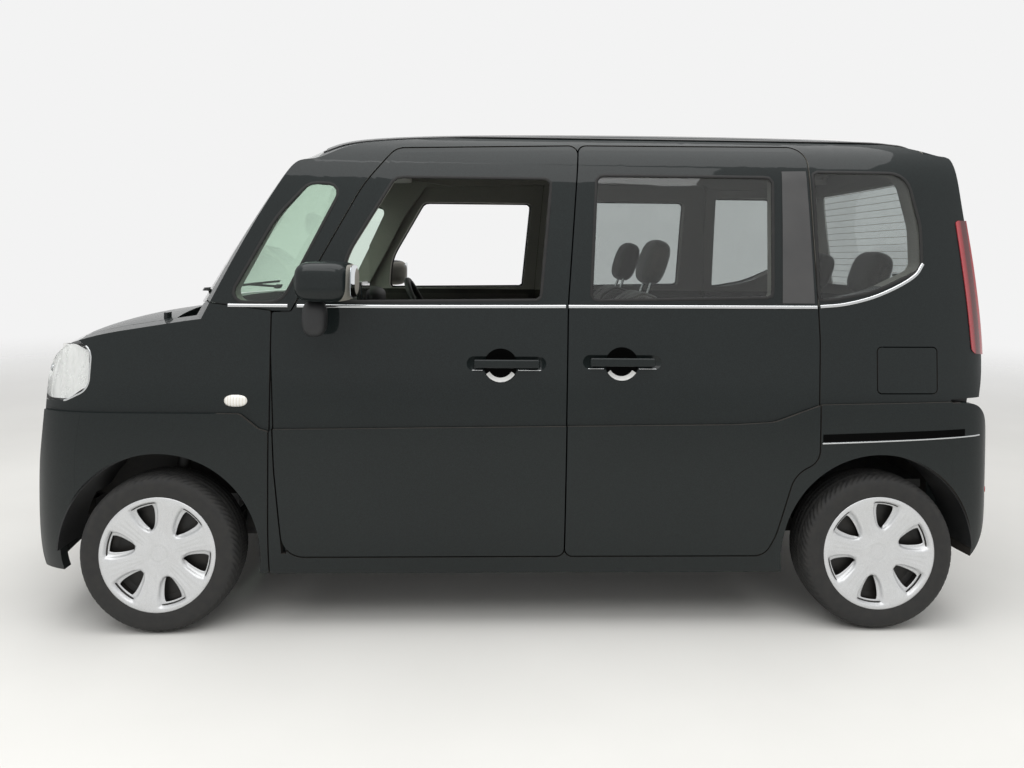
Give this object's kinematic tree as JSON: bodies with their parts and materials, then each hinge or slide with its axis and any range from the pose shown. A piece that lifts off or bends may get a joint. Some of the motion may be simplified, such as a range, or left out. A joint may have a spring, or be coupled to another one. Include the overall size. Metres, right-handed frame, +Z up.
{
  "type": "tall kei car with sliding rear doors",
  "caption": "Tall one-box kei car with hinged front doors, sliding rear doors, bonnet, tailgate and steered front wheels.",
  "frame": {"origin": "on the ground, under the middle of the overall length and width", "axes": "+X to the tail, +Y to the car's right, +Z up"},
  "size_m": [3.3957, 1.81, 1.7829],
  "materials": {
    "paint": "dark blue-black pearl",
    "chassis_steel": "satin black",
    "black_plastic": "grained",
    "clear_glass": "green tint",
    "privacy_glass": "dark tint",
    "lamp_clear": "clear lens",
    "lamp_red": "red lens",
    "seat_cloth": "woven",
    "cast_alloy": "as cast",
    "exhaust_steel": "weathered",
    "tyre": "matt",
    "wheel_steel": "satin black",
    "cover_silver": "silver"
  },
  "bodies": {
    "chassis": {"body_shell": "paint", "roof_panel": "paint", "floor_pan": "chassis_steel", "engine_bay": "chassis_steel", "front_fenders": "paint", "front_bumper": "paint", "rear_bumper": "paint", "front_grille": "black_plastic", "headlamps": "lamp_clear", "tail_lamps": "lamp_red", "sliding_doors": "paint", "sliding_door_handles": "paint", "windscreen": "clear_glass", "side_glass": "privacy_glass", "dashboard": "black_plastic", "steering_wheel": "black_plastic", "front_seats": "seat_cloth", "rear_seats": "seat_cloth", "wheel_arch_liners": "black_plastic", "front_suspension": "chassis_steel", "rear_axle": "chassis_steel", "engine_block": "cast_alloy", "exhaust": "exhaust_steel", "fuel_tank": "chassis_steel", "wipers": "black_plastic"},
    "left_front_door": {"front_door_left": "paint", "front_handle_left": "paint", "door_mirror_left": "paint"},
    "right_front_door": {"front_door_right": "paint", "front_handle_right": "paint", "door_mirror_right": "paint"},
    "bonnet_lid": {"bonnet": "paint"},
    "tailgate_lid": {"tailgate": "paint", "tailgate_glass": "privacy_glass", "rear_wiper": "black_plastic"},
    "fuel_flap": {"fuel_lid": "paint"},
    "steer_left": {"knuckle_left": "chassis_steel"},
    "steer_right": {"knuckle_right": "chassis_steel"},
    "wheel_unit_front_left": {"tyre_front_left": "tyre", "wheel_front_left": "wheel_steel", "wheel_cover_front_left": "cover_silver"},
    "wheel_unit_front_right": {"tyre_front_right": "tyre", "wheel_front_right": "wheel_steel", "wheel_cover_front_right": "cover_silver"},
    "wheel_unit_rear_left": {"tyre_rear_left": "tyre", "wheel_rear_left": "wheel_steel", "wheel_cover_rear_left": "cover_silver"},
    "wheel_unit_rear_right": {"tyre_rear_right": "tyre", "wheel_rear_right": "wheel_steel", "wheel_cover_rear_right": "cover_silver"}
  },
  "joints": [
    {"name": "front_door_left_hinge", "type": "hinge", "parent": "chassis", "child": "left_front_door", "pos_m": [-0.768, -0.711, 0.64], "axis": [0, 0, -1], "range_deg": [0, 65]},
    {"name": "front_door_right_hinge", "type": "hinge", "parent": "chassis", "child": "right_front_door", "pos_m": [-0.768, 0.711, 0.64], "axis": [0, 0, 1], "range_deg": [0, 65]},
    {"name": "bonnet_hinge", "type": "hinge", "parent": "chassis", "child": "bonnet_lid", "pos_m": [-1.2125, 0, 1.04], "axis": [0, 1, 0], "range_deg": [0, 45]},
    {"name": "tailgate_hinge", "type": "hinge", "parent": "chassis", "child": "tailgate_lid", "pos_m": [1.505, 0, 1.684], "axis": [0, -1, 0], "range_deg": [0, 80]},
    {"name": "fuel_flap_hinge", "type": "hinge", "parent": "chassis", "child": "fuel_flap", "pos_m": [1.2795, -0.708, 0.9], "axis": [0, 0, -1], "range_deg": [0, 90]},
    {"name": "steer_left_kingpin", "type": "hinge", "parent": "chassis", "child": "steer_left", "pos_m": [-1.1925, -0.5855, 0.185], "axis": [0.0482, 0.1525, 0.9871], "range_deg": [-35, 35]},
    {"name": "steer_right_kingpin", "type": "hinge", "parent": "chassis", "child": "steer_right", "pos_m": [-1.1925, 0.5855, 0.185], "axis": [0.0482, -0.1525, 0.9871], "range_deg": [-35, 35]},
    {"name": "wheel_front_left_spin", "type": "hinge", "parent": "steer_left", "child": "wheel_unit_front_left", "pos_m": [-1.1925, -0.6475, 0.269], "axis": [0, -1, 0], "continuous": true},
    {"name": "wheel_front_right_spin", "type": "hinge", "parent": "steer_right", "child": "wheel_unit_front_right", "pos_m": [-1.1925, 0.6475, 0.269], "axis": [0, -1, 0], "continuous": true},
    {"name": "wheel_rear_left_spin", "type": "hinge", "parent": "chassis", "child": "wheel_unit_rear_left", "pos_m": [1.2675, -0.65, 0.269], "axis": [0, -1, 0], "continuous": true},
    {"name": "wheel_rear_right_spin", "type": "hinge", "parent": "chassis", "child": "wheel_unit_rear_right", "pos_m": [1.2675, 0.65, 0.269], "axis": [0, -1, 0], "continuous": true}
  ]
}
